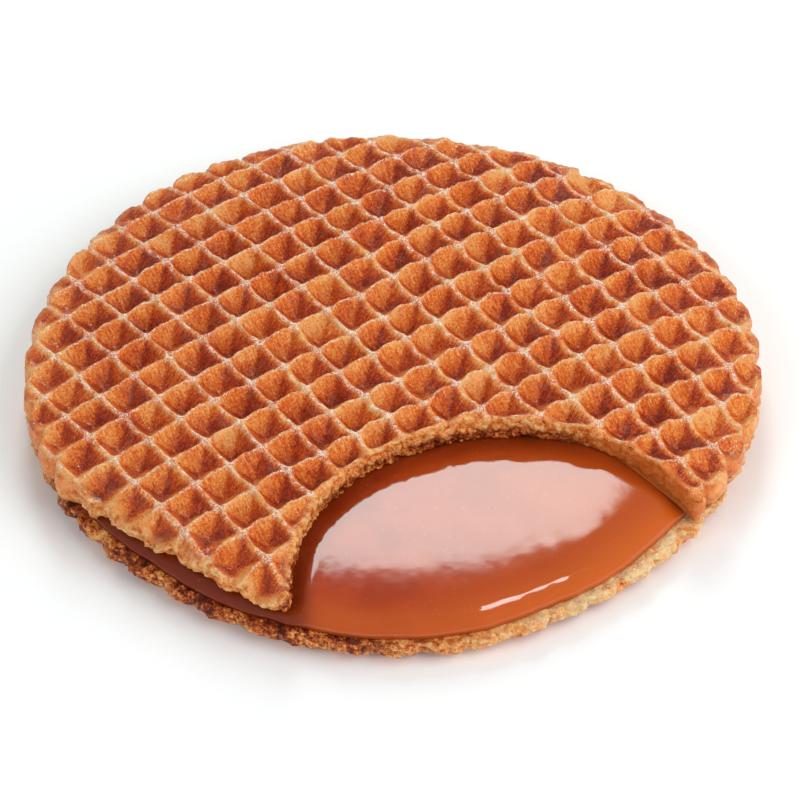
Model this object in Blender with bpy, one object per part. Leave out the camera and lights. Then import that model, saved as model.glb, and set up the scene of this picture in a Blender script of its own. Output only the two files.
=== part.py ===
"""A stroopwafel: two thin waffles with a layer of caramel between them, and a bite out of the upper one.

Metres, +Z up. The origin is the middle of the underside, which rests on z = 0. The bite is on the -Y side.
Run it with blender --background --python part.py, or from the text editor.
"""

import math

import bmesh
import bpy

# The whole biscuit.
RADIUS = 0.03943  # mean radius of the rim
THICKNESS = 0.0089  # from the underside to the crown
RIM_POLE = (-0.00009, 0.00041)  # the point that the rim's radii are measured from
# The rim is a little out of round. Each wave round it has a number of lobes, a height and a crest in degrees.
RIM_WAVES = ((2, 0.00029, -23.5), (3, 0.00028, 23.5), (4, 0.00028, 7.6), (5, 0.00015, -18.2))
RIM_POINTS = 96

# The waffle pattern: square pits between thin ridges, turned about Z.
PITCH = 0.00445
PATTERN_TURN = math.radians(-54.7)
PATTERN_SHIFT = (-0.00048, -0.00204)  # a ridge crossing near the middle, along the pattern's own axes
RIDGE_WIDTH = 0.0007
CELLS = 10  # pits either side of the middle
TOP_PIT_DEPTH = 0.0022
BOTTOM_PIT_DEPTH = 0.0015
PIT_SHRINK = 0.45  # part of the pits' depth that is lost by the rim

# Heights of the layers.
WAFER_BASE = 0.0025  # top of the lower waffle
GAP = 0.0003  # clearance between pieces that touch
SEAM = WAFER_BASE + GAP
CROWN_AT = (-0.0005, -0.0033)  # the highest point of the upper waffle
CROWN_DROP = 0.00305  # how far the ridges fall by CROWN_REACH from there
CROWN_REACH = 0.040
CROWN_POWER = 3.7
CROWN_END = 1.08  # the fall stops at this many times CROWN_REACH, outside the rim
PIT_FLOOR = 0.0009  # least waffle left between a pit and the caramel

# The bite, a cylinder through the upper waffle, and the torn stretch of its rim beside the bite.
BITE_AT = (0.01225, -0.0340)
BITE_RADIUS = 0.02336
TORN_FROM = math.radians(-154.0)
TORN_TO = math.radians(-103.0)
TORN_DEPTH = 0.0023
FREE_REACH = 0.006  # how far inside the bite the caramel stands at its full height

# Sections at the rim, each row (height, inset from the rim).
TOP_SECTION = (
    (SEAM, 0.0004),
    (0.0036, 0.0001),
    (0.0046, 0.0),
    (0.0060, 0.0),
    (0.0070, 0.0004),
    (0.0094, 0.0030),
)
CARAMEL_SECTION = (
    (SEAM, 0.0019),
    (0.0033, 0.0015),
    (0.0040, 0.0015),
    (0.0045, 0.0019),
    (0.0048, 0.0027),
    (0.0050, 0.0045),
    (0.0051, 0.0090),
    (0.00515, 0.0160),
)
BOTTOM_SECTION = (
    (-0.0010, 0.0014),
    (0.0, 0.0010),
    (0.0006, 0.0003),
    (0.0013, 0.0),
    (0.0020, 0.0001),
    (0.0032, 0.0007),
)

WAFER_COLOUR = (0.52, 0.22, 0.06, 1.0)
CARAMEL_COLOUR = (0.42, 0.10, 0.015, 1.0)


def clear_scene():
    for obj in list(bpy.data.objects):
        bpy.data.objects.remove(obj, do_unlink=True)


def principled(name, colour, roughness):
    material = bpy.data.materials.new(name)
    material.use_nodes = True
    shader = material.node_tree.nodes["Principled BSDF"]
    shader.inputs["Base Color"].default_value = colour
    shader.inputs["Roughness"].default_value = roughness
    shader.inputs["Metallic"].default_value = 0.0
    return material


def add_object(name, bm):
    """Turns the bmesh into an object of the scene, with its faces pointing out."""
    bmesh.ops.recalc_face_normals(bm, faces=bm.faces)
    mesh = bpy.data.meshes.new(name)
    bm.to_mesh(mesh)
    bm.free()
    obj = bpy.data.objects.new(name, mesh)
    bpy.context.scene.collection.objects.link(obj)
    return obj


def rim_radius(angle):
    waves = sum(height * math.cos(lobes * (angle - math.radians(crest))) for lobes, height, crest in RIM_WAVES)
    return RADIUS + waves


def torn_depth(angle):
    """How far the torn stretch of the upper waffle's rim lies inside the whole rim."""
    along = (angle - TORN_FROM) / (TORN_TO - TORN_FROM)
    if not 0.0 < along < 1.0:
        return 0.0
    return TORN_DEPTH * math.sqrt(math.sin(math.pi * along))


def lofted_disc(name, section, torn=False):
    """A closed disc whose rim has this section, from its lowest row to its highest."""
    bm = bmesh.new()
    rings = []
    for height, inset in section:
        ring = []
        for step in range(RIM_POINTS):
            angle = 2.0 * math.pi * step / RIM_POINTS - math.pi
            radius = rim_radius(angle) - inset - (torn_depth(angle) if torn else 0.0)
            x = RIM_POLE[0] + radius * math.cos(angle)
            y = RIM_POLE[1] + radius * math.sin(angle)
            ring.append(bm.verts.new((x, y, height)))
        rings.append(ring)
    for low, high in zip(rings, rings[1:]):
        for step in range(RIM_POINTS):
            after = (step + 1) % RIM_POINTS
            bm.faces.new((low[step], low[after], high[after], high[step]))
    bm.faces.new(rings[0])
    bm.faces.new(rings[-1])
    return add_object(name, bm)


def to_world(along, across):
    """From the waffle pattern's own axes to X and Y."""
    u = along + PATTERN_SHIFT[0]
    v = across + PATTERN_SHIFT[1]
    cos, sin = math.cos(PATTERN_TURN), math.sin(PATTERN_TURN)
    return u * cos - v * sin, u * sin + v * cos


def crown_height(x, y):
    """Height of the upper waffle's ridges: flat in the middle, falling to the rim."""
    reach = math.hypot(x - CROWN_AT[0], y - CROWN_AT[1]) / CROWN_REACH
    return THICKNESS - CROWN_DROP * min(reach, CROWN_END) ** CROWN_POWER


def pit_share(x, y):
    """Depth of a pit here as a part of the full depth."""
    return 1.0 - PIT_SHRINK * min(1.0, math.hypot(x, y) / RADIUS) ** 4


def top_pit_depth(x, y):
    return TOP_PIT_DEPTH * pit_share(x, y)


def bottom_pit_depth(x, y):
    """Negative, because the pits of the underside open downwards."""
    return -BOTTOM_PIT_DEPTH * pit_share(x, y)


def waffle_slab(name, ridge_height, pit_depth, far_side):
    """A square slab with the waffle pattern on one face: a four-sided pit in each cell, ridges between.

    ridge_height and pit_depth are functions of x and y, and a negative depth makes pits that open downwards.
    far_side is the height of the plain face.
    """
    bm = bmesh.new()
    half = RIDGE_WIDTH / 2.0
    lines = []
    for cell in range(-CELLS, CELLS):
        lines += [cell * PITCH + half, (cell + 1) * PITCH - half]
    grid = []
    for along in lines:
        column = []
        for across in lines:
            x, y = to_world(along, across)
            column.append(bm.verts.new((x, y, ridge_height(x, y))))
        grid.append(column)
    for i in range(len(lines) - 1):
        for j in range(len(lines) - 1):
            corners = (grid[i][j], grid[i + 1][j], grid[i + 1][j + 1], grid[i][j + 1])
            if i % 2 or j % 2:
                bm.faces.new(corners)
                continue
            x, y = to_world((lines[i] + lines[i + 1]) / 2.0, (lines[j] + lines[j + 1]) / 2.0)
            bottom = bm.verts.new((x, y, ridge_height(x, y) - pit_depth(x, y)))
            for first, second in zip(corners, corners[1:] + corners[:1]):
                bm.faces.new((first, second, bottom))
    border = [edge for edge in bm.edges if edge.is_boundary]
    skirt = bmesh.ops.extrude_edge_only(bm, edges=border)["geom"]
    for vert in (item for item in skirt if isinstance(item, bmesh.types.BMVert)):
        vert.co.z = far_side
    bmesh.ops.holes_fill(bm, edges=[edge for edge in bm.edges if edge.is_boundary])
    return add_object(name, bm)


def bite_cutter():
    bm = bmesh.new()
    bmesh.ops.create_cone(
        bm, cap_ends=True, segments=RIM_POINTS, radius1=BITE_RADIUS, radius2=BITE_RADIUS, depth=4.0 * THICKNESS
    )
    bmesh.ops.translate(bm, verts=bm.verts, vec=(BITE_AT[0], BITE_AT[1], 0.0))
    return add_object("bite_cutter", bm)


def combine(obj, other, operation):
    """Adds a Boolean of the other object, which then only guides and isn't part of the biscuit."""
    modifier = obj.modifiers.new(other.name, "BOOLEAN")
    modifier.operation = operation
    modifier.solver = "EXACT"
    modifier.object = other
    other.hide_render = True
    other.display_type = "WIRE"


def press_down(obj, clearance):
    """Lowers this disc of caramel to lie this far under the upper waffle, except where the bite has freed it."""
    for vert in obj.data.vertices:
        x, y = vert.co.x, vert.co.y
        inside_bite = BITE_RADIUS - math.hypot(x - BITE_AT[0], y - BITE_AT[1])
        free = max(0.0, min(1.0, inside_bite / FREE_REACH))
        ceiling = crown_height(x, y) - top_pit_depth(x, y) - PIT_FLOOR - clearance
        pressed = max(min(vert.co.z, ceiling), min(vert.co.z, SEAM))
        vert.co.z = free * vert.co.z + (1.0 - free) * pressed


def make_wafer_bottom():
    slab = waffle_slab("wafer_bottom", lambda x, y: 0.0, bottom_pit_depth, WAFER_BASE)
    combine(slab, lofted_disc("bottom_rim", BOTTOM_SECTION), "INTERSECT")
    return slab


def make_caramel():
    caramel = lofted_disc("caramel", CARAMEL_SECTION)
    press_down(caramel, GAP)
    return caramel


def make_wafer_top():
    slab = waffle_slab("wafer_top", crown_height, top_pit_depth, SEAM)
    room_section = [(height + GAP, inset - GAP) for height, inset in CARAMEL_SECTION]
    room_section[0] = (0.0, room_section[0][1])
    room = lofted_disc("caramel_room", room_section)
    press_down(room, 0.0)
    combine(slab, lofted_disc("top_rim", TOP_SECTION, torn=True), "INTERSECT")
    combine(slab, room, "DIFFERENCE")
    combine(slab, bite_cutter(), "DIFFERENCE")
    return slab


def main():
    clear_scene()
    wafer = principled("wafer", WAFER_COLOUR, 0.75)
    crust = principled("wafer_under", WAFER_COLOUR, 0.8)
    sauce = principled("caramel", CARAMEL_COLOUR, 0.2)
    for obj, material in ((make_wafer_top(), wafer), (make_caramel(), sauce), (make_wafer_bottom(), crust)):
        obj.data.materials.append(material)


main()
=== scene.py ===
"""Looks of a bitten stroopwafel: two baked waffles with caramel between them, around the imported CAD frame.

Each waffle is a grid laid on its pattern of ridges and cut to its outline, closed by rings of points down
its edge. The caramel is a disc of rings. Every point carries its looks, named numbers such as how deep in a
pit it lies, and the materials mix their colours by these.
"""

import math

import bpy
import numpy as np
from mathutils import Matrix, Vector


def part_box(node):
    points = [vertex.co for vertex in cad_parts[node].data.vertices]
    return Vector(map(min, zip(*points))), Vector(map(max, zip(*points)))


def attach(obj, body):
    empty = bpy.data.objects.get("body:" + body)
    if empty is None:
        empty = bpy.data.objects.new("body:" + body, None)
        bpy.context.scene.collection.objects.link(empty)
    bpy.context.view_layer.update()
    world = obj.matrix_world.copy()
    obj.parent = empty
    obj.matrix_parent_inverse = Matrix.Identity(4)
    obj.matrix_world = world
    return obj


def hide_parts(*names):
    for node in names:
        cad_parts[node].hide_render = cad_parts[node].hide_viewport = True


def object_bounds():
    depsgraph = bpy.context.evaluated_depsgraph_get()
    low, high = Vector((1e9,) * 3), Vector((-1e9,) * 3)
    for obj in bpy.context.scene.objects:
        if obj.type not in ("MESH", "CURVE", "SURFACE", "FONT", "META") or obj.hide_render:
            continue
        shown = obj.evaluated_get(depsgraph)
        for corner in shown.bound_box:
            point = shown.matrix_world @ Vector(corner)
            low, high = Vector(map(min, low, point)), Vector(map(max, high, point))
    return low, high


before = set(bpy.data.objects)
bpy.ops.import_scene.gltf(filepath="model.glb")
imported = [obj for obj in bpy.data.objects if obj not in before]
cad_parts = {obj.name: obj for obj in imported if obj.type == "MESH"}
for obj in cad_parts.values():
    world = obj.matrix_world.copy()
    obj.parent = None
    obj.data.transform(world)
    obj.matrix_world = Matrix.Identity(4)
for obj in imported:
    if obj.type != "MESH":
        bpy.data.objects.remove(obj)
CAD_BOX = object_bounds()
LOW, HIGH = (np.array(corner) for corner in CAD_BOX)
MM = 0.001

# The waffle pattern, as in the CAD. A place in it is (u, v), counted in pits, and ridges run along the whole
# numbers: thin ones where u is whole, broad ones where v is.
PITCH = 4.45 * MM
PATTERN_TURN = math.radians(-54.7)
PATTERN_SHIFT = (-0.48 * MM, -2.04 * MM)
CELLS = 10  # pits from the middle of the pattern to past the rim
TOP_STEPS = 18  # grid steps across a pit of the upper face
UNDER_STEPS = 13

# The rim and the layers, as in the CAD.
RADIUS = 39.43 * MM
RIM_POLE = (-0.09 * MM, 0.41 * MM)
RIM_WAVES = ((2, 0.29 * MM, -23.5), (3, 0.28 * MM, 23.5), (4, 0.28 * MM, 7.6), (5, 0.15 * MM, -18.2))
THICKNESS = HIGH[2] - LOW[2]
LOWER_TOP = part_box("wafer_bottom")[1][2]
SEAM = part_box("caramel")[0][2]
CARAMEL_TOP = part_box("caramel")[1][2]
CROWN_AT = (-0.5 * MM, -3.3 * MM)
CROWN_DROP = 3.05 * MM
CROWN_REACH = 40.0 * MM
CROWN_POWER = 3.7
BITE_AT = (12.25 * MM, -34.0 * MM)
BITE_RADIUS = 23.36 * MM
TORN_FROM = math.radians(-154.0)
TORN_TO = math.radians(-103.0)
TORN_DEPTH = 2.3 * MM

# The pits are straight sided on the left of the biscuit and rounder on the right, so these are pairs: the
# value on the left and the value on the right.
TURNS_ROUND = (-25.0 * MM, 12.0 * MM)  # x where the change starts and ends
RIDGE_STRAY = (0.050, 0.075)  # how far ridges wander off a straight line, in pits
RIDGE_BOW = (0.03, 0.08)  # how far they bow between two crossings, in pits
RIDGE_DIP = (0.06 * MM, 0.26 * MM)  # how far they dip between two crossings
BROAD_TOP = (0.018, 0.038)  # half the width of a broad ridge's top, in pits

# Other widths in the pattern, in pits.
STRAY_LENGTH = 1.1  # between one bend of a ridge and the next
WOBBLES = ((0.020, 0.26), (0.018, 0.24))  # how far and how often ridges wobble, along u and along v
THIN_TOP = 0.006  # half the width of a thin ridge's top
THIN_WIDENS = 0.050  # how much wider it is at a crossing
BROAD_WIDENS = 0.045
BROAD_VARIES = 0.024
CROSSING_REACH = 0.13  # of the wide spot where two ridges cross
PATCH_REACH = 0.14  # of the patch of painted glints on it
THIN_LINE = 0.045  # reach of the line of painted glints along a thin ridge
BROAD_LINE = 0.085
CORNER_ROUNDING = 0.10  # where two walls of a pit meet
STREAK_LENGTH, STREAK_WIDTH = 0.9, 0.055  # of the streaks down the walls

# Depths.
TOP_PIT_DEPTH = 2.35 * MM
UNDER_PIT_DEPTH = 1.5 * MM
SHALLOW_AT_RIM = 0.42  # share of its depth that a pit loses at the rim
UPPER_THICKNESS = 3.3 * MM  # from the crown to the underside of the upper waffle

# How far the rim bulges out beside each pit.
TOP_SCALLOP = 1.30 * MM
TORN_SCALLOP = 0.50 * MM  # along the torn stretch
LOWER_SCALLOP = 1.0 * MM

# The broken edges.
COARSE_CRUMB = 0.95 * MM
FINE_CRUMB = 0.45 * MM
TOP_EDGE_ROWS = 15
LOWER_EDGE_ROWS = 12
RIM_STEPS = (0.2, 0.2, 0.2, 0.2, 0.25, 0.25, 0.25, 0.3, 0.3, 0.3, 0.35, 0.4, 0.5, 0.6, 1.0)  # over it, in mm
UPPER_MIDDLE = (-14.0 * MM, 24.0 * MM)  # a place that sees the whole outline of the bitten upper waffle
BITE_RIGHT_END = (17.0 * MM, 25.0 * MM)  # x over which the bite's wall turns from darker at its foot to melted
DARKER_FOOT_UP_TO = (6.2 * MM, 7.7 * MM)  # heights over which the darker foot of that wall fades
MELTED_UP_TO = (6.6 * MM, 8.0 * MM)

# Stretches of the rim, in degrees round it: where each starts, is full, starts to fade and ends.
# Painted light on the right of the lower waffle's rim, paler on its upper part.
PAINTED_RIM_LIGHT_DEGREES = (-82.0, -60.0, -10.0, 20.0)
# Darker crumb along the lower waffle's rim on its left and front.
DARKER_RIM_DEGREES = (-178.0, -150.0, -98.0, -74.0)
LIP_SET_BACK = (-62.0, -40.0, -20.0, 0.0)

# Seeds. The crumbs' shape and colour share one, so that they match.
TOP_SEED = 40
UNDER_SEED = 240
TOP_CRUMB_SEED = 80
LOWER_CRUMB_SEED = 290

# The caramel.
LIP_IN = 1.55 * MM  # how far its lip lies in from the rim
LIP_FURTHER_IN = 0.55 * MM  # how much further in it lies at the right end of the bite
LIP_REACH = 4.6 * MM  # how far in from the lip its face keeps rising
LIP_POINTS = 480
LIP_INSETS = (0.0, 0.06, 0.16, 0.3, 0.48, 0.7, 0.95, 1.25, 1.6, 2.0, 2.5, 3.1, 3.8, 4.7, 5.8)  # rings, in mm
LIP_BASE = SEAM - 0.25 * MM  # a little into the crumbs of the lower waffle, so that no gap shows

LEAST_SLOPE = 0.5  # taken for a distance function's slope, which would be 1 if it were exact


# ---------------------------------------------------------------- noise
# A seed is any whole number. Each use has its own, except where two have to match.

AXIS_PRIMES = (73856093, 19349663, 83492791)
SEED_PRIME = 2654435761
MIX_PRIMES = (1274126177, 2246822519)
ALL_32_BITS = 0xFFFFFFFF
OFF_CENTRE = 0.42  # how far a grain may lie from the middle of its own cell, in cells
GRAIN_SLOPE = 1.4


def hashed(cells, seed):
    """A number from -1 to 1 for each whole-number place, the same on every run."""
    x, y, z = (cells[..., axis].astype(np.int64) * AXIS_PRIMES[axis] for axis in range(3))
    value = x ^ y ^ z ^ (seed * SEED_PRIME)
    value = (value ^ (value >> 13)) * MIX_PRIMES[0] & ALL_32_BITS
    value = (value ^ (value >> 16)) * MIX_PRIMES[1] & ALL_32_BITS
    return (value ^ (value >> 15)) / (ALL_32_BITS / 2.0) - 1.0


def noise(points, size, seed):
    """Smooth noise from -1 to 1 whose bumps are about this size."""
    place = np.asarray(points, float) / size
    corner = np.floor(place)
    part = place - corner
    part = part * part * (3.0 - 2.0 * part)
    total = np.zeros(place.shape[:-1])
    for step in np.ndindex(2, 2, 2):
        weight = np.prod(np.where(np.array(step) == 1, part, 1.0 - part), axis=-1)
        total += weight * hashed(corner + np.array(step), seed)
    return total


def fractal(points, size, seed, octaves=3):
    """Noise with finer noise on it: each octave has half the size and half the height of the one before."""
    total = sum(noise(points, size / 2**k, seed + 17 * k) / 2**k for k in range(octaves))
    return total / (2.0 - 0.5 ** (octaves - 1))


def lumps(points, size, seed):
    """Rounded grains of about this size: 1 in the middle of a grain, falling to 0 and below between them."""
    place = np.asarray(points, float) / size
    corner = np.floor(place)
    nearest = np.full(place.shape[:-1], 9.0)
    for step in np.ndindex(3, 3, 3):
        cell = corner + np.array(step) - 1.0
        shift = np.stack([hashed(cell, seed + axis) for axis in range(3)], axis=-1)
        middle = cell + 0.5 + OFF_CENTRE * shift
        nearest = np.minimum(nearest, ((place - middle) ** 2).sum(axis=-1))
    return 1.0 - GRAIN_SLOPE * np.sqrt(nearest)


def crumbs(points, seed, coarse):
    """Coarse crumbs with fine ones among them, as lumps() gives them. coarse is the coarse ones' share."""
    return coarse * lumps(points, COARSE_CRUMB, seed) + (1.0 - coarse) * lumps(points, FINE_CRUMB, seed + 5)


def flat_points(x, y):
    return np.stack([x, y, np.zeros(np.shape(x))], axis=-1)


def smooth_step(value, low, high):
    """0 where value is under low, 1 where it is over high, and a smooth change between."""
    part = np.clip((value - low) / (high - low), 0.0, 1.0)
    return part * part * (3.0 - 2.0 * part)


def fade(value, full, gone):
    """1 where value is under full, 0 where it is over gone, and a smooth change between."""
    return 1.0 - smooth_step(value, full, gone)


def stretch(value, start, full, fading, end):
    """0 up to start, 1 from full to fading, and 0 again past end, with smooth changes between."""
    return smooth_step(value, start, full) * fade(value, fading, end)


# ---------------------------------------------------------------- shape of the biscuit

def to_world(along, across):
    """(x, y) of a place that is this far along the pattern's own axes."""
    cos, sin = math.cos(PATTERN_TURN), math.sin(PATTERN_TURN)
    u, v = along + PATTERN_SHIFT[0], across + PATTERN_SHIFT[1]
    return u * cos - v * sin, u * sin + v * cos


def to_pattern(x, y):
    """(u, v) of a place, counted in pits."""
    cos, sin = math.cos(PATTERN_TURN), math.sin(PATTERN_TURN)
    along, across = x * cos + y * sin, -x * sin + y * cos
    return (along - PATTERN_SHIFT[0]) / PITCH, (across - PATTERN_SHIFT[1]) / PITCH


def rim_angle(x, y):
    return np.arctan2(y - RIM_POLE[1], x - RIM_POLE[0])


def rim_radius(angle):
    waves = (height * np.cos(lobes * (angle - math.radians(crest))) for lobes, height, crest in RIM_WAVES)
    return RADIUS + sum(waves)


def torn_depth(angle):
    along = np.clip((angle - TORN_FROM) / (TORN_TO - TORN_FROM), 0.0, 1.0)
    return TORN_DEPTH * np.sqrt(np.sin(math.pi * along))


def torn_share(x, y):
    """1 along the torn stretch of the rim."""
    return smooth_step(torn_depth(rim_angle(x, y)), 0.3 * MM, 1.4 * MM)


def from_rim(x, y):
    """Distance in from the whole rim."""
    return rim_radius(rim_angle(x, y)) - np.hypot(x - RIM_POLE[0], y - RIM_POLE[1])


def from_bite(x, y):
    """Distance out from the edge of the bite."""
    return np.hypot(x - BITE_AT[0], y - BITE_AT[1]) - BITE_RADIUS


def crown_height(x, y):
    reach = np.hypot(x - CROWN_AT[0], y - CROWN_AT[1]) / CROWN_REACH
    return THICKNESS - CROWN_DROP * np.minimum(reach, 1.08) ** CROWN_POWER


def line_gap(place):
    """Distance to the nearest whole number."""
    return np.abs(place - np.round(place))


def rim_scallops(x, y):
    """How far the rim bulges between the ridges that run out over it: 1 beside a pit, 0 at a ridge."""
    u, v = to_pattern(x, y)
    angle = rim_angle(x, y) - PATTERN_TURN
    toward_u, toward_v = np.abs(np.cos(angle)) ** 3, np.abs(np.sin(angle)) ** 3
    bulge_u, bulge_v = (1.0 - (1.0 - 2.0 * line_gap(place)) ** 2.4 for place in (u, v))
    return (bulge_u * toward_v + bulge_v * toward_u) / (toward_u + toward_v)


def left_to_right(x, ends):
    """The value at x of a measure that changes from the left of the biscuit to the right."""
    left, right = ends
    return left + (right - left) * smooth_step(x, *TURNS_ROUND)


def sway(u, v, seed):
    """How far the ridges at a place in the pattern wander off their straight lines, in pits."""
    points = flat_points(u, v)
    x, _ = to_world(u * PITCH, v * PITCH)
    stray = left_to_right(x, RIDGE_STRAY)
    bow = left_to_right(x, RIDGE_BOW)
    (wobble_u, length_u), (wobble_v, length_v) = WOBBLES
    shift_u = stray * noise(points, STRAY_LENGTH, seed) + wobble_u * noise(points, length_u, seed + 9)
    shift_v = stray * noise(points, STRAY_LENGTH, seed + 5) + wobble_v * noise(points, length_v, seed + 12)
    return shift_u + bow * np.sin(math.pi * v) ** 2, shift_v + bow * np.sin(math.pi * u) ** 2


class Pits:
    """The pattern at given places (u, v): how deep in a pit each is and how near to the ridges."""

    def __init__(self, u, v, seed):
        self.random = hashed(flat_points(np.floor(u), np.floor(v)), seed + 77)
        self.add_ridges(u, v)
        self.add_walls(u, v, seed)
        self.add_streaks(u, v, seed)

    def add_ridges(self, u, v):
        gap_u, gap_v = line_gap(u), line_gap(v)
        from_crossing = gap_u**2 + gap_v**2
        self.crossing = np.exp(-from_crossing / CROSSING_REACH**2)
        self.patch = np.exp(-from_crossing / PATCH_REACH**2)
        self.thin_ridge = np.exp(-((gap_u / THIN_LINE) ** 2))
        self.broad_ridge = np.exp(-((gap_v / BROAD_LINE) ** 2))
        on_u, on_v = np.cos(math.pi * u) ** 2, np.cos(math.pi * v) ** 2
        self.arch = on_u * (1.0 - on_v)  # 1 halfway along a thin ridge, which arches between crossings
        self.sag = on_v * (1.0 - on_u)  # 1 halfway along a broad ridge, which sags

    def add_walls(self, u, v, seed):
        x, _ = to_world(u * PITCH, v * PITCH)
        varied = BROAD_VARIES * noise(flat_points(u, v), 0.45, seed + 31)
        thin = THIN_TOP + THIN_WIDENS * self.crossing
        broad = left_to_right(x, BROAD_TOP) + BROAD_WIDENS * self.crossing + varied
        rise_u = np.clip((line_gap(u) - thin) / (0.5 - thin), 0.0, 1.0)
        rise_v = np.clip((line_gap(v) - broad) / (0.5 - broad), 0.0, 1.0)
        near_corner = np.clip(1.0 - np.abs(rise_u - rise_v) / CORNER_ROUNDING, 0.0, 1.0)
        rounding = near_corner**2 * CORNER_ROUNDING / 4.0 * (rise_u + rise_v)
        rise = np.clip(np.minimum(rise_u, rise_v) - rounding, 0.0, 1.0)
        self.depth = 1.20 * rise - 0.20 * rise**5  # straight walls that round off at the pit's floor
        self.far_right_wall = smooth_step(rise_u - rise_v, -CORNER_ROUNDING, CORNER_ROUNDING)

    def add_streaks(self, u, v, seed):
        """Noise drawn out down the walls: along u beside the thin ridges, along v beside the broad ones."""
        zero = np.zeros_like(u)
        along_u = noise(np.stack([u / STREAK_LENGTH, v / STREAK_WIDTH, zero], axis=-1), 1.0, seed + 51)
        along_v = noise(np.stack([u / STREAK_WIDTH, v / STREAK_LENGTH, zero], axis=-1), 1.0, seed + 52)
        self.streak = along_u + (along_v - along_u) * self.far_right_wall


# ---------------------------------------------------------------- meshes

def numeric_slope(function, x, y, reach=0.04 * MM):
    return (
        (function(x + reach, y) - function(x - reach, y)) / (2.0 * reach),
        (function(x, y + reach) - function(x, y - reach)) / (2.0 * reach),
    )


def without_loose_quads(quads):
    """The quads, less those with one neighbour or none and one of each two that meet only at a corner."""
    padded = np.pad(quads, 1).astype(int)
    neighbours = sum(np.roll(padded, shift, axis)[1:-1, 1:-1] for shift in (1, -1) for axis in (0, 1))
    quads = quads & (neighbours >= 2)
    rising = quads[:-1, :-1] & quads[1:, 1:] & ~quads[1:, :-1] & ~quads[:-1, 1:]
    falling = quads[1:, :-1] & quads[:-1, 1:] & ~quads[:-1, :-1] & ~quads[1:, 1:]
    quads[:-1, :-1] &= ~rising
    quads[1:, :-1] &= ~falling
    return quads


def joined_to_middle(quads):
    """The quads that are reached over shared edges from one beside the pattern's middle."""
    for _ in range(3):
        quads = without_loose_quads(quads)
    reached = np.zeros_like(quads)
    middle = quads.shape[0] // 2
    reached[middle, middle + quads.shape[0] // 8] = True
    while True:
        wider = reached.copy()
        wider[1:] |= reached[:-1]
        wider[:-1] |= reached[1:]
        wider[:, 1:] |= reached[:, :-1]
        wider[:, :-1] |= reached[:, 1:]
        wider &= quads
        if (wider == reached).all():
            return reached
        reached = wider


def border_loop(faces):
    """The numbers of the points round the border, in the faces' own direction."""
    ends = np.concatenate([faces[:, [k, (k + 1) % 4]] for k in range(4)])
    keys = ends[:, 0] * (faces.max() + 1) + ends[:, 1]
    back = ends[:, 1] * (faces.max() + 1) + ends[:, 0]
    after = dict(ends[~np.isin(keys, back)].tolist())
    start = next(iter(after))
    loop = [start]
    while after[loop[-1]] != start:
        loop.append(after[loop[-1]])
    if len(loop) != len(after):
        raise RuntimeError("the trimmed face has more than one border")
    return np.array(loop)


def pit_lines(steps):
    """Grid lines across the whole pattern, closer together at the ridges than in the pits."""
    part = np.linspace(0.0, 1.0, steps + 1)[:-1]
    part = part - 0.055 * np.sin(2.0 * math.pi * part)
    return (np.arange(-CELLS, CELLS)[:, None] + part).ravel()


def moved_to_edge(x, y, inside):
    """The points moved to where inside(x, y) is 0, by Newton's method."""
    for _ in range(4):
        slope_x, slope_y = numeric_slope(inside, x, y)
        scale = inside(x, y) / np.maximum(slope_x**2 + slope_y**2, LEAST_SLOPE**2)
        x = x - scale * slope_x
        y = y - scale * slope_y
    return x, y


def trimmed_face(steps, inside, seed):
    """A grid laid on the swaying ridges and cut to where inside(x, y) is over 0.

    It gives (x, y, place in the pattern at each point, faces, border loop).
    """
    u, v = np.meshgrid(pit_lines(steps), pit_lines(steps), indexing="ij")
    shift_u, shift_v = sway(u, v, seed)
    x, y = to_world((u - shift_u) * PITCH, (v - shift_v) * PITCH)
    kept = inside(x, y) > -0.3 * PITCH / steps
    quads = joined_to_middle(kept[:-1, :-1] & kept[1:, :-1] & kept[1:, 1:] & kept[:-1, 1:])
    row, column = np.nonzero(quads)
    corners = ((0, 0), (1, 0), (1, 1), (0, 1))
    faces = np.stack([(row + dr) * u.shape[1] + column + dc for dr, dc in corners], axis=1)
    used, faces = np.unique(faces, return_inverse=True)
    faces = faces.reshape(-1, 4)
    x, y, shift_u, shift_v = (grid.ravel()[used] for grid in (x, y, shift_u, shift_v))
    loop = border_loop(faces)
    x[loop], y[loop] = moved_to_edge(x[loop], y[loop], inside)
    u, v = to_pattern(x, y)
    return x, y, (u + shift_u, v + shift_v), faces, loop


def outward(inside, x, y):
    """Unit vectors along the ground pointing out over the edge."""
    slope_x, slope_y = numeric_slope(inside, x, y, 0.5 * MM)
    length = np.maximum(np.hypot(slope_x, slope_y), 1e-9)
    return -slope_x / length, -slope_y / length


def evened(border, rounds=6):
    """The border with its points spread more evenly, so that the rings below it don't fold."""
    for _ in range(rounds):
        border = 0.5 * border + 0.25 * (np.roll(border, 1, axis=0) + np.roll(border, -1, axis=0))
    return border


def ring_faces(rings):
    """Quads that join each ring of point numbers to the next one."""
    joins = zip(rings, rings[1:])
    return np.concatenate([
        np.stack([here, there, np.roll(there, -1), np.roll(here, -1)], axis=1) for here, there in joins
    ])


def in_scene(name, data):
    """A new object in the scene."""
    obj = bpy.data.objects.new(name, data)
    bpy.context.scene.collection.objects.link(obj)
    return obj


def make_object(name, points, quads, triangles, looks, material):
    """A mesh object with its looks, kept inside the CAD's box."""
    mesh = bpy.data.meshes.new(name)
    mesh.from_pydata(np.clip(points, LOW, HIGH).tolist(), [], quads.tolist() + triangles.tolist())
    for look, values in looks.items():
        layer = mesh.attributes.new(look, "FLOAT", "POINT")
        layer.data.foreach_set("value", np.asarray(values, np.float32))
    mesh.shade_smooth()
    mesh.materials.append(material)
    mesh.validate()
    return in_scene(name, mesh)


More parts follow.
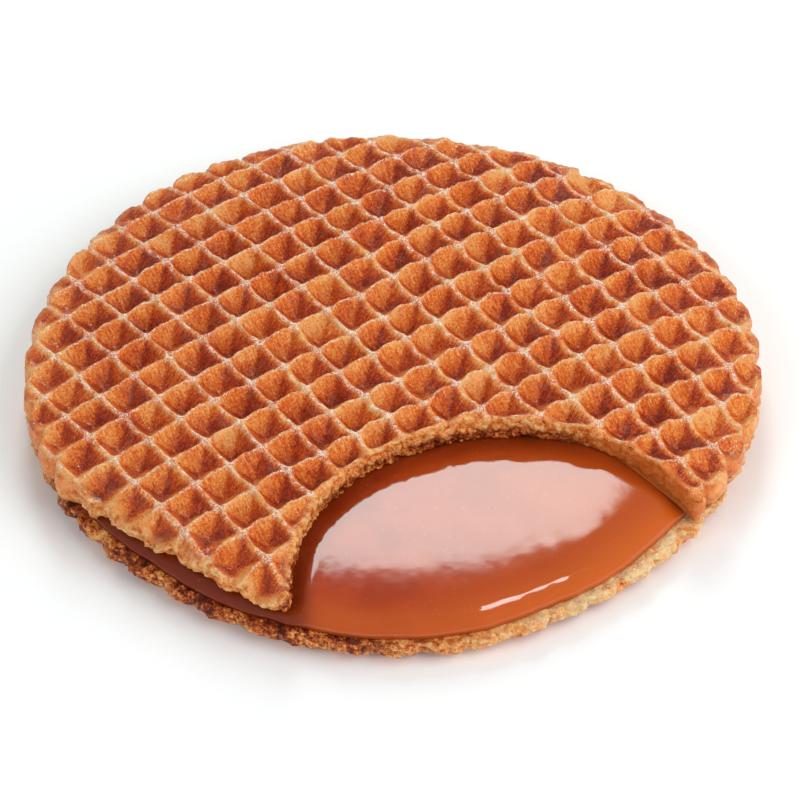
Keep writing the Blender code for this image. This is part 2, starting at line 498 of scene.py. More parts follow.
def waffle_mesh(name, steps, seed, inside, face_height, rings, middle, looks_of, faces_up, material):
    """A waffle: a patterned face cut to its outline, then rings of points from its border in to the middle.

    inside(x, y) is over 0 on the face. rings(border) gives the list of rings, each an array of points, for
    the points of the border. looks_of(points, pits) gives the looks of the face's points, then the rings'.
    """
    x, y, place, faces, loop = trimmed_face(steps, inside, seed)
    pits = Pits(*place, seed)
    face_points = np.stack([x, y, face_height(x, y, pits)], axis=1)
    if not faces_up:
        faces = faces[:, ::-1]
        loop = loop[::-1]
    ring_points = rings(face_points[loop])
    points = np.concatenate([face_points] + ring_points + [np.array([middle])])
    count = len(loop)
    numbers = [loop] + [len(x) + k * count + np.arange(count) for k in range(len(ring_points))]
    quads = np.concatenate([faces, ring_faces(numbers)])
    last = numbers[-1]
    triangles = np.stack([last, np.full(count, len(points) - 1), np.roll(last, -1)], axis=1)
    return make_object(name, points, quads, triangles, looks_of(points, pits), material)


def pit_depth(x, y, deepest, spread, pits):
    """How far the face lies in from the ridge tops. Pits differ by the spread, and are shallow at the rim."""
    outer = np.clip(1.0 - from_rim(x, y) / RADIUS, 0.0, 1.0)
    return deepest * (1.0 + spread * pits.random) * (1.0 - SHALLOW_AT_RIM * outer**5) * pits.depth


def grain_look(points, seed):
    """1 on top of a crumb, 0 in the gaps between crumbs; the crumb's colours follow it as painted light on
    the tops and painted shade in the gaps.
    """
    return np.clip(0.30 + crumbs(points, seed, 0.5), 0.0, 1.0)


def pattern_looks(points, pits, edge_depth):
    """The looks that follow the pattern. The face's points come first, then the edge's, which has none."""
    x, y, _ = points.T
    edge = np.ones(len(points) - len(pits.depth))
    return {
        "depth": np.concatenate([pits.depth, edge_depth * edge]),
        "broad_ridge": np.concatenate([pits.broad_ridge, 0.0 * edge]),
        "thin_ridge": np.concatenate([pits.thin_ridge, 0.0 * edge]),
        "patch": np.concatenate([pits.patch, 0.0 * edge]),
        "far_right_wall": np.concatenate([pits.far_right_wall, 0.5 * edge]),
        "golden": fade(from_rim(x, y), 0.3 * MM, 3.5 * MM),
    }


# ---------------------------------------------------------------- upper waffle

def top_inside(x, y):
    """Distance in from the edge of the upper waffle: its rim, the torn stretch and the bite."""
    points = flat_points(x, y)
    torn = torn_depth(rim_angle(x, y))
    share = smooth_step(torn, 0.0, 1.0 * MM)
    scallop = TOP_SCALLOP + (TORN_SCALLOP - TOP_SCALLOP) * share
    rim = from_rim(x, y) - 0.10 * MM - torn + scallop * (rim_scallops(x, y) - 0.78)
    rim = rim + 0.12 * MM * fractal(points, 1.6 * MM, 3) + 0.50 * MM * share * fractal(points, 1.8 * MM, 8, 4)
    bite = from_bite(x, y) + 0.26 * MM * fractal(points, 2.6 * MM, 21, 4)
    return np.minimum(rim, bite)


def top_face_height(x, y, pits):
    points = flat_points(x, y)
    rim = from_rim(x, y)
    inside = top_inside(x, y)
    baked = fade(rim, 0.2 * MM, 1.5 * MM)
    bitten = fade(from_bite(x, y), 0.3 * MM, 1.7 * MM)
    torn = torn_share(x, y) * fade(rim - torn_depth(rim_angle(x, y)), 1.0 * MM, 4.0 * MM)
    pit = pit_depth(x, y, TOP_PIT_DEPTH, 0.10, pits) * (1.0 - 0.80 * bitten) * (1.0 - 0.55 * baked)
    dip = left_to_right(x, RIDGE_DIP) * (1.0 - pits.arch + 0.6 * pits.sag) * (1.0 - 0.6 * pits.depth)
    loose = 1.0 + 0.8 * noise(points, 3.4 * MM, 45)
    rounded = 0.16 * MM * np.clip(1.0 - inside / (0.55 * MM), 0.0, 1.0) ** 2
    drooping = 1.30 * MM * torn * np.clip(1.0 - inside / (3.0 * MM), 0.0, 1.0) ** 1.5
    height = crown_height(x, y) - 0.25 * MM * bitten - pit - dip * loose - rounded - drooping
    height += top_roughness(points, inside, pits)
    return np.minimum(height, THICKNESS - 0.01 * MM)


def top_roughness(points, inside, pits):
    """Streaks down the walls, fine noise all over, crumbs along the edge and worn ridge tops."""
    near_edge = np.clip(1.0 - inside / (1.0 * MM), 0.0, 1.0)
    rough = 0.055 * MM * pits.streak * np.clip(4.0 * pits.depth, 0.25, 1.0)
    rough += 0.075 * MM * fractal(points, 0.60 * MM, 60, 2) + 0.10 * MM * noise(points, 2.6 * MM, 66)
    rough += 0.22 * MM * near_edge * lumps(points, 0.80 * MM, 71)
    rough += 0.16 * MM * near_edge * lumps(points, 0.42 * MM, 73)
    rough += 0.17 * MM * pits.broad_ridge * noise(points, 0.40 * MM, 83)
    rough += 0.24 * MM * pits.thin_ridge * noise(points, 0.34 * MM, 86)
    return rough


def under_top(x, y):
    """Height of the upper waffle's lower face, which lies on the caramel."""
    rise = np.clip((from_rim(x, y) - 1.3 * MM) / (5.0 * MM), 0.0, 1.0)
    over_caramel = SEAM + (CARAMEL_TOP + 0.12 * MM - SEAM) * np.sqrt(1.0 - (1.0 - rise) ** 3)
    return np.maximum(SEAM, np.minimum(over_caramel, crown_height(x, y) - UPPER_THICKNESS))


def broken_edge(x, y):
    """1 at the bite and along the torn stretch of the rim, 0 along the baked rim."""
    return np.maximum(torn_share(x, y), fade(from_bite(x, y), 0.2 * MM, 1.2 * MM))


def top_rings(border):
    """Rings down the edge of the upper waffle, then in under it."""
    x, y, _ = evened(border).T
    top = evened(border, 2)[:, 2]
    out_x, out_y = outward(top_inside, x, y)
    bottom = under_top(x, y)
    broken = broken_edge(x, y)
    rings = []
    for row in range(1, TOP_EDGE_ROWS + 1):
        share = row / TOP_EDGE_ROWS
        z = top + (bottom - top) * share
        points = np.stack([x, y, z], axis=1)
        rough = (0.24 + 0.42 * broken) * MM * (crumbs(points, TOP_CRUMB_SEED, 0.65) - 0.15)
        rough = rough + 0.16 * MM * fractal(points, 2.2 * MM, 99, 2)
        bulge = 0.18 * MM * (1.0 - broken) * math.sin(math.pi * share) - 0.40 * MM * share**3
        offset = (rough + bulge) * min(1.0, 3.0 * share)
        rings.append(np.stack([x + out_x * offset, y + out_y * offset, z], axis=1))
    centre = np.array(UPPER_MIDDLE)
    for share in (0.97, 0.93, 0.86, 0.72, 0.4):
        inner = centre + (np.stack([x, y], axis=1) - centre) * share
        rings.append(np.column_stack([inner, under_top(inner[:, 0], inner[:, 1])]))
    return rings


def top_looks(points, pits):
    x, y, z = points.T
    count = len(pits.depth)
    pale = 0.5 + 0.5 * fractal(flat_points(x, y), 8.0 * MM, 120, 2)
    pale[:count] += 0.8 * smooth_step(pits.random, 0.80, 0.97)
    crumb = np.ones(len(points))
    crumb[:count] = fade(top_inside(x[:count], y[:count]), 0.1 * MM, 1.1 * MM)
    near_bite = fade(from_bite(x, y), 0.8 * MM, 1.6 * MM)
    right_end = smooth_step(x, *BITE_RIGHT_END)
    looks = pattern_looks(points, pits, 0.45)
    looks["crumb"] = crumb * (0.35 + 0.65 * broken_edge(x, y))
    looks["grain"] = grain_look(points, TOP_CRUMB_SEED)
    looks["pale"] = np.clip(pale, 0.0, 1.5)
    looks["cream"] = np.zeros(len(points))
    looks["melt"] = near_bite * right_end * fade(z, *MELTED_UP_TO)
    # Darker towards the foot of the bite's wall.
    looks["toast"] = near_bite * (1.0 - right_end) * fade(z, *DARKER_FOOT_UP_TO)
    return looks


def make_upper_waffle(material):
    return waffle_mesh(
        "upper_waffle",
        steps=TOP_STEPS,
        seed=TOP_SEED,
        inside=top_inside,
        face_height=top_face_height,
        rings=top_rings,
        middle=(*UPPER_MIDDLE, CARAMEL_TOP + 0.1 * MM),
        looks_of=top_looks,
        faces_up=True,
        material=material,
    )


# ---------------------------------------------------------------- lower waffle

def bottom_inside(x, y):
    """Distance in from the edge of the lower waffle's face. Its broken rim bulges out past this."""
    rim = from_rim(x, y) - 1.15 * MM + LOWER_SCALLOP * (rim_scallops(x, y) - 0.75)
    return rim + 0.15 * MM * fractal(flat_points(x, y), 2.0 * MM, 203)


def bottom_face_height(x, y, pits):
    points = flat_points(x, y)
    edge = np.clip(1.0 - bottom_inside(x, y) / (0.8 * MM), 0.0, 1.0)
    height = pit_depth(x, y, UNDER_PIT_DEPTH, 0.07, pits) + 0.35 * MM * edge**2
    height += 0.04 * MM * np.abs(fractal(points, 0.6 * MM, 260, 2))
    return np.maximum(height + 0.04 * MM * pits.streak * pits.depth, 0.0)


def bottom_edge_ring(x, y, low, out_x, out_y, share):
    """The ring at this share of the way up the lower waffle's broken edge."""
    z = low + (LOWER_TOP - 0.30 * MM - low) * share
    bulge = math.sin(0.5 * math.pi * min(1.0, share / 0.55)) - 0.3 * max(0.0, share - 0.55) ** 2
    points = np.stack([x + out_x * bulge * MM, y + out_y * bulge * MM, z], axis=1)
    grain_size = 0.35 + 0.45 * smooth_step(share, 0.3, 0.8)
    ragged = 0.20 * fractal(points, 2.6 * MM, 299, 2) + 0.45 * np.abs(noise(points, 1.1 * MM, 297))
    offset = (bulge + grain_size * (crumbs(points, LOWER_CRUMB_SEED, 0.6) - 0.3) + ragged - 0.28) * MM
    return np.stack([x + out_x * offset, y + out_y * offset, z], axis=1)


def bottom_rings(border):
    """Rings up the edge of the lower waffle, over its broken rim and in under the caramel."""
    x, y, low = evened(border).T
    out_x, out_y = outward(from_rim, x, y)
    shares = (row / LOWER_EDGE_ROWS for row in range(1, LOWER_EDGE_ROWS + 1))
    rings = [bottom_edge_ring(x, y, low, out_x, out_y, share) for share in shares]
    edge = rings[-1]
    inward = 0.0
    for step in RIM_STEPS:
        inward += step * MM
        points = edge - np.stack([out_x, out_y, np.zeros_like(out_x)], axis=1) * inward
        rounded = 0.15 * MM * math.exp(-inward / (0.3 * MM))
        height = LOWER_TOP - 0.08 * MM + 0.40 * MM * (crumbs(points, LOWER_CRUMB_SEED, 0.6) - 0.3) - rounded
        points[:, 2] = np.minimum(height, SEAM - 0.02 * MM)
        rings.append(points)
    for share in (0.75, 0.4):
        rings.append(np.column_stack([rings[-1][:, :2] * share, np.full(len(x), LOWER_TOP - 0.05 * MM)]))
    return rings


def bottom_looks(points, pits):
    x, y, z = points.T
    pale = 0.5 + 0.5 * fractal(flat_points(x, y), 8.0 * MM, 330, 2)
    crumb = np.ones(len(points))
    crumb[:len(pits.depth)] = 0.0
    degrees = np.degrees(rim_angle(x, y))
    patches = smooth_step(fractal(points, 1.6 * MM, 350, 2), -0.4, 0.3)
    looks = pattern_looks(points, pits, 0.25)
    looks["crumb"] = crumb
    looks["grain"] = grain_look(points, LOWER_CRUMB_SEED)
    looks["pale"] = np.clip(pale, 0.0, 1.5)
    # Painted light: the right of the rim, higher up and in patches, is paler.
    looks["cream"] = stretch(degrees, *PAINTED_RIM_LIGHT_DEGREES) * smooth_step(z, 0.6 * MM, 2.4 * MM) * patches
    looks["melt"] = np.zeros(len(points))
    # Darker along the rim's left and front.
    looks["toast"] = stretch(degrees, *DARKER_RIM_DEGREES)
    return looks


def make_lower_waffle(material):
    return waffle_mesh(
        "lower_waffle",
        steps=UNDER_STEPS,
        seed=UNDER_SEED,
        inside=bottom_inside,
        face_height=bottom_face_height,
        rings=bottom_rings,
        middle=(0.0, 0.0, LOWER_TOP - 0.05 * MM),
        looks_of=bottom_looks,
        faces_up=False,
        material=material,
    )


# ---------------------------------------------------------------- caramel

def caramel_height(x, y, inset):
    """Height of the caramel's upper face at a distance in from its own lip."""
    rise = min(inset / LIP_REACH, 1.0)
    lip = (1.0 - (1.0 - rise) ** 2.6) ** (1.0 / 2.4)
    far = min(inset / (16.0 * MM), 1.0)
    free_top = CARAMEL_TOP - 0.55 * MM * (1.0 - far) ** 2
    free = fade(from_bite(x, y), -2.2 * MM, 0.0)
    roof = crown_height(x, y) - UPPER_THICKNESS - 0.2 * MM
    pressed = np.minimum(free_top, np.maximum(roof, SEAM + 0.3 * MM))
    top = free * free_top + (1.0 - free) * pressed
    return LIP_BASE + (top - LIP_BASE) * lip


def caramel_swell(x, y, inset):
    """Low waves in the caramel: very low ones all over, and a higher one along the lip."""
    wide = 0.003 * MM * noise(flat_points(x, y), 7.0 * MM, 430) * min(1.0, inset / (2.0 * MM))
    near_lip = math.exp(-(((inset - 1.3 * MM) / (0.8 * MM)) ** 2))
    return wide + 0.06 * MM * noise(flat_points(x, y), 4.0 * MM, 435) * near_lip


def caramel_edge(angle):
    """Distance of the lip from the rim's pole. It lies further in at the right end of the bite."""
    ring_at = flat_points(RADIUS * np.cos(angle), RADIUS * np.sin(angle))
    set_back = LIP_FURTHER_IN * stretch(np.degrees(angle), *LIP_SET_BACK)
    lip = LIP_IN + set_back + 0.30 * MM * fractal(ring_at, 9.0 * MM, 410, 2)
    return rim_radius(angle) - lip - 0.12 * MM * noise(ring_at, 2.0 * MM, 415)


def caramel_looks(x, y):
    # Masks for painted light and shade: glow lightens towards the right and thin towards the lip, both
    # painted glow; shade and the last are painted shade under the torn edge and the bite's wall.
    return {
        "thin": fade(from_rim(x, y), 1.5 * MM, 6.0 * MM),
        "glow": smooth_step(x, -5.0 * MM, 30.0 * MM),
        "shade": torn_share(x, y) * fade(from_rim(x, y), 4.0 * MM, 7.0 * MM),
        "bite_wall_shade": smooth_step(from_bite(x, y), -3.2 * MM, -0.2 * MM) * fade(x, 14.0 * MM, 26.0 * MM),
    }


def make_caramel(material):
    """A disc with a rounded, slightly wavy lip, built as rings from under the lip to the middle."""
    angle = np.linspace(-math.pi, math.pi, LIP_POINTS, endpoint=False)
    edge = caramel_edge(angle)
    insets = [inset * MM for inset in LIP_INSETS] + [(7.0 + 1.6 * step) * MM for step in range(19)]

    def ring(radius):
        return RIM_POLE[0] + radius * np.cos(angle), RIM_POLE[1] + radius * np.sin(angle)

    rings = [np.column_stack([*ring(edge - 1.0 * MM), np.full(LIP_POINTS, LIP_BASE)])]
    for inset in insets:
        x, y = ring(np.maximum(edge - inset, 0.4 * MM))
        rings.append(np.column_stack([x, y, caramel_height(x, y, inset) + caramel_swell(x, y, inset)]))
    top = np.array([[*RIM_POLE, rings[-1][:, 2].mean()]])
    base = np.array([[*RIM_POLE, LIP_BASE]])
    points = np.concatenate(rings + [top, base])
    numbers = [k * LIP_POINTS + np.arange(LIP_POINTS) for k in range(len(rings))]
    quads = ring_faces(numbers)[:, ::-1]
    first, last = numbers[0], numbers[-1]
    upper = np.stack([last, np.roll(last, -1), np.full(LIP_POINTS, len(points) - 2)], axis=1)
    lower = np.stack([np.roll(first, -1), first, np.full(LIP_POINTS, len(points) - 1)], axis=1)
    looks = caramel_looks(points[:, 0], points[:, 1])
    return make_object("caramel_layer", points, quads, np.concatenate([upper, lower]), looks, material)


# ---------------------------------------------------------------- materials

class Nodes:
    """Shorthand for building a material's node tree."""

    def __init__(self, name):
        self.material = bpy.data.materials.new(name)
        self.material.use_nodes = True
        self.tree = self.material.node_tree
        self.shader = self.tree.nodes["Principled BSDF"]
        self.place = self.add("ShaderNodeTexCoord").outputs["Object"]

    def add(self, kind, **settings):
        node = self.tree.nodes.new(kind)
        for key, value in settings.items():
            setattr(node, key, value)
        return node

    def link(self, source, target):
        self.tree.links.new(source, target)

    def fill(self, socket, value):
        """Links the socket where value is another node's output, and sets it where value is a constant."""
        if isinstance(value, bpy.types.NodeSocket):
            self.link(value, socket)
        else:
            socket.default_value = value

    def shade_with(self, values):
        for name, value in values.items():
            self.fill(self.shader.inputs[name], value)

    def look(self, name):
        return self.add("ShaderNodeAttribute", attribute_name=name).outputs["Fac"]

    def along_pattern(self, scale):
        """Places in the pattern's own axes, with each axis scaled."""
        turned = self.add("ShaderNodeMapping")
        turned.inputs["Rotation"].default_value = (0.0, 0.0, -PATTERN_TURN)
        self.link(self.place, turned.inputs["Vector"])
        scaled = self.add("ShaderNodeMapping")
        scaled.inputs["Scale"].default_value = scale
        self.link(turned.outputs["Vector"], scaled.inputs["Vector"])
        return scaled.outputs["Vector"]

    def noise(self, size, detail, roughness=0.55, place=None):
        node = self.add("ShaderNodeTexNoise")
        self.link(place or self.place, node.inputs["Vector"])
        node.inputs["Scale"].default_value = 1.0 / size
        node.inputs["Detail"].default_value = detail
        node.inputs["Roughness"].default_value = roughness
        return node.outputs["Fac"]

    def cells(self, size):
        """Distance from the nearest of many dots that lie about this far apart, counted in that size."""
        node = self.add("ShaderNodeTexVoronoi")
        self.link(self.place, node.inputs["Vector"])
        node.inputs["Scale"].default_value = 1.0 / size
        return node.outputs["Distance"]

    def math(self, operation, first, second, clamp=False):
        node = self.add("ShaderNodeMath", operation=operation, use_clamp=clamp)
        self.fill(node.inputs[0], first)
        self.fill(node.inputs[1], second)
        return node.outputs[0]

    def times(self, first, second):
        return self.math("MULTIPLY", first, second)

    def about(self, middle, value, factor):
        """A texture's distance from its middle value, times a factor."""
        return self.times(self.math("SUBTRACT", value, middle), factor)

    def total(self, first, *others):
        for other in others:
            first = self.math("ADD", first, other)
        return first

    def mixed(self, kind, share, first, second):
        """first where share is 0 and second where it is 1. kind is Float or Color."""
        node = self.add("ShaderNodeMix", data_type="RGBA" if kind == "Color" else "FLOAT")
        inputs = {socket.identifier: socket for socket in node.inputs}
        self.fill(inputs["Factor_Float"], share)
        self.fill(inputs["A_" + kind], first)
        self.fill(inputs["B_" + kind], second)
        return next(socket for socket in node.outputs if socket.identifier == "Result_" + kind)

    def tinted(self, base, look, weight, colour):
        """base, mixed with a colour up to this weight where the look is 1."""
        return self.mixed("Color", self.times(self.look(look), weight), base, colour)

    def spread(self, value, low, high, to_low=0.0, to_high=1.0):
        """to_low where value is under low, to_high where it is over high, and a smooth change between."""
        node = self.add("ShaderNodeMapRange", interpolation_type="SMOOTHSTEP")
        self.fill(node.inputs["Value"], value)
        node.inputs["From Min"].default_value = low
        node.inputs["From Max"].default_value = high
        node.inputs["To Min"].default_value = to_low
        node.inputs["To Max"].default_value = to_high
        return node.outputs["Result"]

    def ramp(self, value, stops):
        node = self.add("ShaderNodeValToRGB")
        elements = node.color_ramp.elements
        while len(elements) < len(stops):
            elements.new(0.5)
        for element, (position, colour) in zip(elements, stops):
            element.position = position
            element.color = colour
        self.fill(node.inputs["Fac"], value)
        return node.outputs["Color"]

    def bump(self, height, distance, strength, normal=None):
        node = self.add("ShaderNodeBump", invert=distance < 0.0)
        node.inputs["Distance"].default_value = abs(distance)
        node.inputs["Strength"].default_value = strength
        self.link(height, node.inputs["Height"])
        if normal is not None:
            self.link(normal, node.inputs["Normal"])
        return node.outputs["Normal"]


class WaffleNodes(Nodes):
    """Adds the textures that the waffle's colours and its bump share."""

    def __init__(self, name):
        super().__init__(name)
        self.grain = self.noise(0.26 * MM, 4.0, 0.65)
        self.fine = self.noise(0.10 * MM, 2.0, 0.5)
        self.blotch = self.noise(3.6 * MM, 3.0, 0.5)
        self.dots = self.cells(0.24 * MM)
        self.streak = self.wall_streaks(0.15 * MM, 0.13)
        self.broad_streak = self.wall_streaks(0.40 * MM, 0.25)

    def wall_streaks(self, size, draw):
        """Noise drawn out down the walls: along u beside the thin ridges, along v beside the broad ones."""
        along_u = self.noise(size, 2.0, 0.5, self.along_pattern((draw, 1.0, draw)))
        along_v = self.noise(size, 2.0, 0.5, self.along_pattern((1.0, draw, draw)))
        return self.mixed("Float", self.look("far_right_wall"), along_u, along_v)


def srgb(red, green, blue):
    """A colour given as 0 to 255 on screen, as the linear colour that the shader takes."""
    parts = (channel / 255.0 for channel in (red, green, blue))
    linear = (part / 12.92 if part <= 0.04045 else ((part + 0.055) / 1.055) ** 2.4 for part in parts)
    return (*linear, 1.0)


CRUST_RAMP = (
    (0.00, srgb(255, 186, 112)),
    (0.15, srgb(252, 154, 68)),
    (0.36, srgb(240, 120, 38)),
    (0.62, srgb(206, 76, 20)),
    (0.95, srgb(142, 38, 10)),
)
# The crumb ramps run from the gaps between crumbs to their tops: painted shade in the gaps and painted light
# on the tops, over the crumb's own colour.
CRUMB_RAMP = (
    (0.02, srgb(142, 46, 12)),
    (0.26, srgb(220, 102, 32)),
    (0.52, srgb(250, 156, 72)),
    (0.95, srgb(255, 212, 148)),
)
DARKER_CRUMB_RAMP = (
    (0.15, srgb(62, 18, 7)),
    (0.45, srgb(132, 46, 14)),
    (0.70, srgb(214, 104, 34)),
    (1.00, srgb(252, 190, 108)),
)
# Colours of painted highlights: glints along the thin ridges, glints on the broad ridges and crossings, and a
# fainter painted sheen.
THIN_RIDGE_GLINT = srgb(255, 230, 200)
BROAD_RIDGE_GLINT = srgb(255, 238, 224)
SHEEN_SPECK = srgb(255, 196, 150)
# Painted light on the right of the lower waffle's rim.
PAINTED_RIM_LIGHT_COLOUR = srgb(255, 232, 178)
MELTED = srgb(226, 112, 34)
CARAMEL_CLOUDS = (srgb(158, 52, 16), srgb(172, 62, 20))
# Tints of painted light and shade: a painted glow towards the right, a painted glow through the thin lip,
# painted shade along the torn edge, and painted shade with the wall's painted reflection under the bite's
# wall.
CARAMEL_TINTS = (
    ("glow", 0.90, srgb(186, 80, 22)),
    ("thin", 0.35, srgb(216, 112, 36)),
    ("shade", 0.80, srgb(138, 48, 12)),
    ("bite_wall_shade", 0.60, srgb(96, 28, 7)),
)
BUBBLE = srgb(232, 140, 70)


def crust_shade(nodes):
    """Where on the crust's ramp each place lies: darker in the pits and, as painted shade, on the far right
    walls.
    """
    depth = nodes.look("depth")
    shadow_wall = nodes.times(nodes.look("far_right_wall"), nodes.spread(depth, 0.04, 0.30))
    return nodes.total(
        # Deeper is darker: partly the crust's browning, partly painted shade in the pits.
        nodes.math("ADD", nodes.times(depth, 0.24), 0.24),
        # Painted shade on the far right walls, which face away from the right-hand light.
        nodes.times(shadow_wall, 0.40),
        nodes.about(0.5, nodes.streak, 0.85),
        nodes.about(0.5, nodes.broad_streak, 0.45),
        nodes.about(0.5, nodes.grain, 1.30),
        nodes.about(0.5, nodes.fine, 0.60),
        nodes.about(0.45, nodes.dots, 0.20),
        nodes.about(0.5, nodes.blotch, 1.20),
        nodes.about(0.4, nodes.look("pale"), -0.22),
        nodes.about(0.0, nodes.look("golden"), -0.20),
    )


def crust_colour(nodes):
    """The baked crust, with painted glints on the ridges and where ridges cross, and a fainter painted sheen
    in patches.
    """
    # Painted highlights, broken into specks by the glint noise: a line along the thin ridges, specks on the
    # broad ridges and crossings, and a fainter painted sheen in patches.
    glint_patches = nodes.spread(nodes.noise(0.9 * MM, 2.0), 0.42, 0.58)
    line = nodes.spread(nodes.look("thin_ridge"), 0.25, 0.85)
    line = nodes.times(line, nodes.math("ADD", glint_patches, 0.25, clamp=True))
    speck = nodes.times(nodes.spread(nodes.look("broad_ridge"), 0.40, 0.90), glint_patches)
    speck = nodes.math("MAXIMUM", speck, nodes.spread(nodes.look("patch"), 0.15, 0.75))
    sheen_patches = nodes.times(nodes.spread(nodes.noise(1.8 * MM, 2.0), 0.54, 0.66), 0.20)
    glint = nodes.spread(nodes.noise(0.17 * MM, 2.0, 0.6), 0.47, 0.55)
    crust = nodes.ramp(crust_shade(nodes), CRUST_RAMP)
    for share, colour in ((line, THIN_RIDGE_GLINT), (speck, BROAD_RIDGE_GLINT), (sheen_patches, SHEEN_SPECK)):
        crust = nodes.mixed("Color", nodes.times(share, glint), crust, colour)
    return crust


def crumb_colour(nodes):
    """The broken crumb: painted light on the lower rim's right, darker in places, caramel-soaked at the
    bite's right end.
    """
    # Painted light on the crumbs' tops and painted shade in the gaps between them.
    lump = nodes.total(nodes.look("grain"), nodes.about(0.5, nodes.grain, 1.6))
    darker_crumb_colour = nodes.ramp(nodes.math("ADD", lump, nodes.about(0.5, nodes.blotch, 1.2)), DARKER_CRUMB_RAMP)
    crumb = nodes.ramp(lump, CRUMB_RAMP)
    # Painted light on the right of the lower waffle's rim.
    crumb = nodes.tinted(crumb, "cream", 0.60, PAINTED_RIM_LIGHT_COLOUR)
    # Darker along the lower rim's left and front and towards the foot of the bite's wall.
    crumb = nodes.tinted(crumb, "toast", 1.0, darker_crumb_colour)
    return nodes.tinted(crumb, "melt", 0.85, MELTED)


def waffle_material():
    nodes = WaffleNodes("baked_waffle")
    crumb = nodes.look("crumb")
    normal = nodes.bump(nodes.grain, 0.26 * MM, 1.0)
    normal = nodes.bump(nodes.fine, 0.10 * MM, 1.0, normal)
    normal = nodes.bump(nodes.dots, -0.10 * MM, 0.8, normal)
    normal = nodes.bump(nodes.streak, 0.10 * MM, 0.6, normal)
    nodes.shade_with({
        "Base Color": nodes.mixed("Color", crumb, crust_colour(nodes), crumb_colour(nodes)),
        "Roughness": nodes.total(nodes.spread(nodes.fine, 0.35, 0.65, 0.28, 0.48), nodes.times(crumb, 0.20)),
        "Normal": normal,
        "Specular IOR Level": 0.35,
        "Coat Weight": 0.35,
        "Coat Roughness": 0.11,
        "Subsurface Weight": 0.10,
        "Subsurface Radius": (1.0, 0.45, 0.18),
        "Subsurface Scale": 0.6 * MM,
    })
    return nodes.material


def caramel_material():
    nodes = Nodes("caramel_syrup")
    cloud = nodes.spread(nodes.noise(6.0 * MM, 3.0, 0.5), 0.35, 0.65)
    colour = nodes.mixed("Color", cloud, *CARAMEL_CLOUDS)
    for look, weight, tint in CARAMEL_TINTS:
        colour = nodes.tinted(colour, look, weight, tint)
    bubble = nodes.spread(nodes.cells(0.8 * MM), 0.05, 0.13, 1.0, 0.0)
    smear = nodes.spread(nodes.noise(0.9 * MM, 3.0), 0.3, 0.7, 0.05, 0.09)
    nodes.shade_with({
        "Base Color": nodes.mixed("Color", nodes.times(bubble, 0.25), colour, BUBBLE),
        "Roughness": nodes.total(smear, nodes.times(nodes.look("shade"), 0.15)),
        "Normal": nodes.bump(nodes.noise(2.2 * MM, 2.0, 0.5), 0.02 * MM, 0.4),
        "IOR": 1.5,
        "Subsurface Weight": 0.30,
        "Subsurface Radius": (1.0, 0.30, 0.08),
        "Subsurface Scale": 2.0 * MM,
    })
    return nodes.material


# ---------------------------------------------------------------- stage

# The camera was solved from the photo's square pattern. It looks from -y, this far up from the ground.
CAMERA_AIM = Vector((0.748, -8.184, 8.9)) * MM
CAMERA_TILT = math.radians(43.476)
CAMERA_AWAY = 0.7737
CAMERA_LENS = 325.2  # in millimetres, as Blender takes a lens and a sensor
CAMERA_SENSOR = 36.0
CAMERA_ROLL = math.radians(-0.86)
FLOOR_HALF = 3.0
FLOOR_GREY = 0.93
WORLD_STRENGTH = 0.36
WHITE = (1.0, 1.0, 1.0)
COOL_WHITE = (0.86, 1.0, 0.97)


def make_camera():
    camera = bpy.data.cameras.new("camera")
    camera.lens = CAMERA_LENS
    camera.sensor_width = CAMERA_SENSOR
    camera.clip_start = 0.01
    obj = in_scene("camera", camera)
    back = Vector((0.0, -math.cos(CAMERA_TILT), math.sin(CAMERA_TILT)))
    right = Vector((1.0, 0.0, 0.0))
    turn = Matrix((right, back.cross(right), back)).transposed().to_4x4()
    place = Matrix.Translation(CAMERA_AIM + back * CAMERA_AWAY)
    obj.matrix_world = place @ turn @ Matrix.Rotation(CAMERA_ROLL, 4, "Z")
    bpy.context.scene.camera = obj


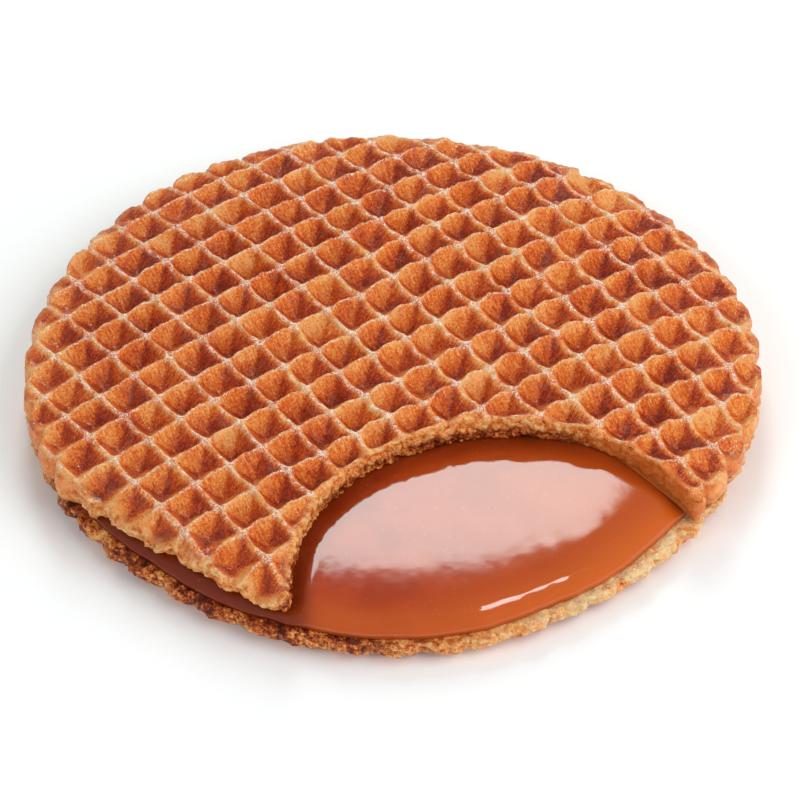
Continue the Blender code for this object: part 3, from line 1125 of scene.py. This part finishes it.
def make_floor():
    mesh = bpy.data.meshes.new("floor")
    corners = [(x * FLOOR_HALF, y * FLOOR_HALF, 0.0) for x, y in ((-1, -1), (1, -1), (1, 1), (-1, 1))]
    mesh.from_pydata(corners, [], [(0, 1, 2, 3)])
    paint = Nodes("floor_paint")
    paint.shade_with({"Base Color": (FLOOR_GREY, FLOOR_GREY, FLOOR_GREY, 1.0), "Roughness": 0.9})
    mesh.materials.append(paint.material)
    floor = in_scene("floor", mesh)
    floor.location.z = LOW[2] - 0.02 * MM


def make_world():
    world = bpy.data.worlds.new("studio")
    world.use_nodes = True
    background = world.node_tree.nodes["Background"]
    background.inputs["Color"].default_value = (*WHITE, 1.0)
    background.inputs["Strength"].default_value = WORLD_STRENGTH
    bpy.context.scene.world = world


def softbox(name, toward, away, size, power, colour=WHITE, mirrored=True, lighting=True):
    """A rectangular light this far from the biscuit, in this direction, facing it.

    It can be left out of reflections (mirrored) or seen in them alone (lighting).
    """
    light = bpy.data.lights.new(name, "AREA")
    light.shape = "RECTANGLE"
    light.size, light.size_y = size
    light.energy = power
    light.color = colour
    obj = in_scene(name, light)
    obj.visible_glossy = mirrored
    obj.visible_diffuse = lighting
    direction = Vector(toward).normalized()
    obj.location = CAMERA_AIM + direction * away
    obj.rotation_euler = (-direction).to_track_quat("-Z", "Y").to_euler()


def make_lights():
    """The back softbox makes the wide glare on the caramel, and the lip softbox the streak along its lip."""
    softbox("back_softbox", (-0.05, 0.817, 0.574), away=0.7, size=(0.22, 0.37), power=2.2, colour=COOL_WHITE)
    softbox("lip_softbox", (0.30, 0.03, 0.95), away=0.8, size=(0.15, 0.15), power=0.9, lighting=False)
    softbox("right_softbox", (0.85, -0.30, 0.6), away=0.8, size=(0.9, 0.9), power=6.4, mirrored=False)
    softbox("left_softbox", (-0.75, -0.70, 0.6), away=0.9, size=(0.7, 0.7), power=2.8, mirrored=False)


def main():
    make_camera()
    make_floor()
    make_world()
    make_lights()
    bpy.context.scene.view_settings.view_transform = "Standard"
    crust = waffle_material()
    pieces = (
        (make_upper_waffle(crust), "wafer_top", "waffle_top"),
        (make_lower_waffle(crust), "wafer_bottom", "waffle_bottom"),
        (make_caramel(caramel_material()), "caramel", "caramel"),
    )
    for piece, node, slot in pieces:
        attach(piece, "root")
        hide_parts(node)


main()
